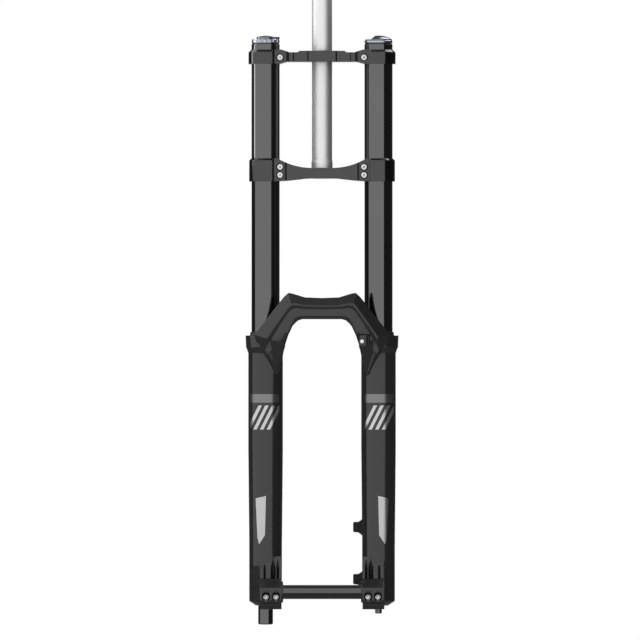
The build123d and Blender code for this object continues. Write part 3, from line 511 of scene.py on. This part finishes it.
bm = bmesh.new()
bmesh.ops.create_circle(bm, cap_ends=True, segments=10, radius=WIRE_R)
bmesh.ops.rotate(bm, verts=bm.verts, cent=(0, 0, 0), matrix=Matrix.Rotation(math.pi / 2, 3, "X"))
bmesh.ops.translate(bm, verts=bm.verts, vec=(SPRING_R, 0, SPRING_FOOT + WIRE_R))
bmesh.ops.spin(
    bm,
    geom=bm.verts[:] + bm.edges[:] + bm.faces[:],
    cent=(0, 0, 0),
    axis=(0, 0, 1),
    dvec=(0, 0, SPRING_RISE / SPRING_STEPS),
    angle=2 * math.pi * SPRING_TURNS,
    steps=SPRING_STEPS,
    use_merge=False,
)
bmesh.ops.holes_fill(bm, edges=[edge for edge in bm.edges if edge.is_boundary], sides=0)
bmesh.ops.recalc_face_normals(bm, faces=bm.faces)
bmesh.ops.translate(bm, verts=bm.verts, vec=(-LEG_AXIS.x, LEG_AXIS.y, 0))
return_spring = finished("return_spring", bm, spring_steel)
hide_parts("floating_piston_spring")
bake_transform(return_spring)


# ---------------------------------------------------------------------------
# Studio
# A pale floor, three softboxes side by side round the front, a bright strip at
# their left end, a softbox behind and two small lights for the steerer's sides.
# ---------------------------------------------------------------------------
CENTRE = Vector((-0.0029, -0.02, -0.2156))
FLOOR_Z = -0.75
FLOOR_R = 1.5

bm = bmesh.new()
bmesh.ops.create_circle(bm, cap_ends=True, segments=96, radius=FLOOR_R)
bmesh.ops.translate(bm, verts=bm.verts, vec=(0, 0, FLOOR_Z))
floor_paint = Paint("pale_floor", Roughness=0.7)
floor_shade = floor_paint.blend(floor_paint.noise(9, 3) * 0.4, grey(0.86), grey(0.82))
floor_paint.set(Base_Color=floor_shade)
floor = finished("floor", bm, floor_paint.material)
floor.visible_glossy = False


def studio_light(name, place, target, width, height, radiance):
    """A rectangular light at a place, looking at a target."""
    light = bpy.data.lights.new(name, "AREA")
    light.shape = "RECTANGLE"
    light.size = width
    light.size_y = height
    light.energy = radiance * math.pi * width * height
    lamp = bpy.data.objects.new(name, light)
    lamp.location = place
    lamp.rotation_euler = (target - place).to_track_quat("-Z", "Y").to_euler()
    lamp.visible_camera = False
    bpy.context.scene.collection.objects.link(lamp)


def softbox(name, azimuth, spread, radiance, distance=2.4, height=3.2, lift=0.0):
    """A tall light round the fork. Azimuth 0 is in front, +90 towards +X; spread is its width in degrees."""
    turn = math.radians(azimuth)
    target = CENTRE + Vector((0, 0, lift))
    place = target + Vector((math.sin(turn), -math.cos(turn), 0)) * distance
    width = 2 * distance * math.tan(math.radians(spread / 2))
    studio_light(name, place, target, width, height, radiance)


for name, azimuth in (("key_left", -72), ("key_middle", -25), ("key_right", 22)):
    softbox(name, azimuth, 47, 1.15, height=5.5, lift=1.6)
softbox("rim_strip", -100.5, 11, 4.6, distance=1.0, height=1.2, lift=0.845)
softbox("back_box", 180, 38, 0.6)

UPPER_STEERER = Vector((0, 0, 0.18))
studio_light("fill_right", Vector((0.24, 0.20, 0.48)), UPPER_STEERER, 0.24, 0.24, 4.0)
studio_light("fill_left", Vector((-0.26, 0.22, 0.48)), UPPER_STEERER, 0.20, 0.20, 2.0)

world = bpy.data.worlds.new("studio")
world.use_nodes = True
bpy.context.scene.world = world
room = Nodes(world.node_tree)
heading = room.add("ShaderNodeTexCoord", out="Generated")
height = room.add("ShaderNodeSeparateXYZ", {}, {0: heading}, out="Z")
ceiling = room.band(height, 0.72, 0.90) * 0.24
ground = room.band(0.0 - height, 0.25, 0.75) * 0.19
dim = 0.06 + ceiling + ground
seen = room.add("ShaderNodeLightPath", out="Is Camera Ray")
room.plug(world.node_tree.nodes["Background"], {"Color": room.blend(seen, dim, grey(1.0))})

CAMERA_DISTANCE = 12.0
FRAME_WIDTH = 0.9068
camera = bpy.data.objects.new("camera", bpy.data.cameras.new("camera"))
camera.data.lens = camera.data.sensor_width * CAMERA_DISTANCE / FRAME_WIDTH
camera.location = CENTRE - Vector((0, CAMERA_DISTANCE, 0))
camera.rotation_euler = (math.radians(90), 0, 0)
camera.data.clip_end = 60
bpy.context.scene.collection.objects.link(camera)
bpy.context.scene.camera = camera
bpy.context.scene.view_settings.view_transform = "Standard"
